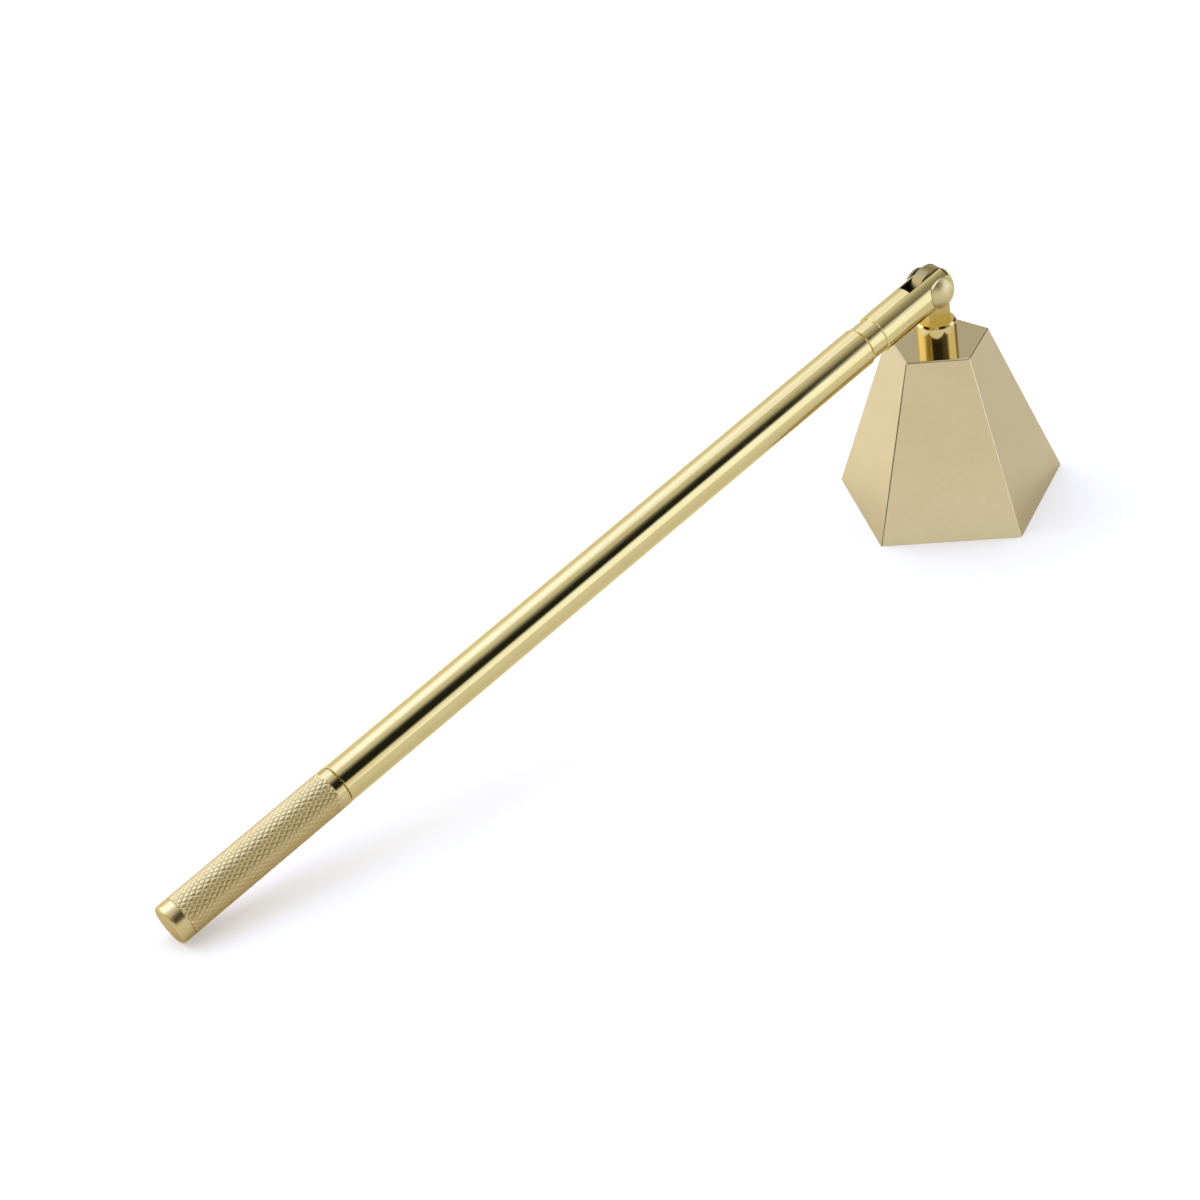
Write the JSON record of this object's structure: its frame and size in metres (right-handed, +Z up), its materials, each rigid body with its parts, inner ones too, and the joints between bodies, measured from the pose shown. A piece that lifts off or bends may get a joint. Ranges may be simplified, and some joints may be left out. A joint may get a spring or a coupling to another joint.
{
  "type": "candle snuffer",
  "caption": "Candle snuffer with a five-sided bell, a tilting hinge and a long round handle with a knurled grip.",
  "frame": {"origin": "middle of the snuffer's footprint as it rests, at the level of the table", "axes": "+Z up along the bell's axis; the bell is at the +X end and the grip at the -X end; the hinge turns about Y"},
  "size_m": [0.2112, 0.044, 0.0516],
  "materials": {
    "polished_brass": "polished, clear lacquered",
    "neck_brass": "polished, with the tongue as milled",
    "satin_brass": "satin",
    "browned_brass": "satin, browned",
    "bell_brass": "fine satin polish",
    "knurled_brass": "diamond knurled",
    "plain_brass": "as machined",
    "spring_bronze": "rolled",
    "plated_steel": "zinc plated"
  },
  "bodies": {
    "handle": {"fork": "polished_brass", "pivot_barrel": "satin_brass", "pivot_screw": "browned_brass", "friction_washer_near": "spring_bronze", "friction_washer_far": "spring_bronze", "collar": "polished_brass", "shaft_tube": "polished_brass", "front_insert": "plain_brass", "rear_insert": "plain_brass", "grip_stud": "plated_steel", "grip": "knurled_brass"},
    "bell": {"bell_shell": "bell_brass", "neck_post": "neck_brass", "bell_screw": "plated_steel", "bell_washer": "plated_steel", "lock_washer": "plated_steel"}
  },
  "joints": [
    {"name": "bell_tilt", "type": "hinge", "parent": "handle", "child": "bell", "pos_m": [0.0836, 0.00127, 0.0472], "axis": [0, -1, 0], "range_deg": [-20, 208]}
  ]
}
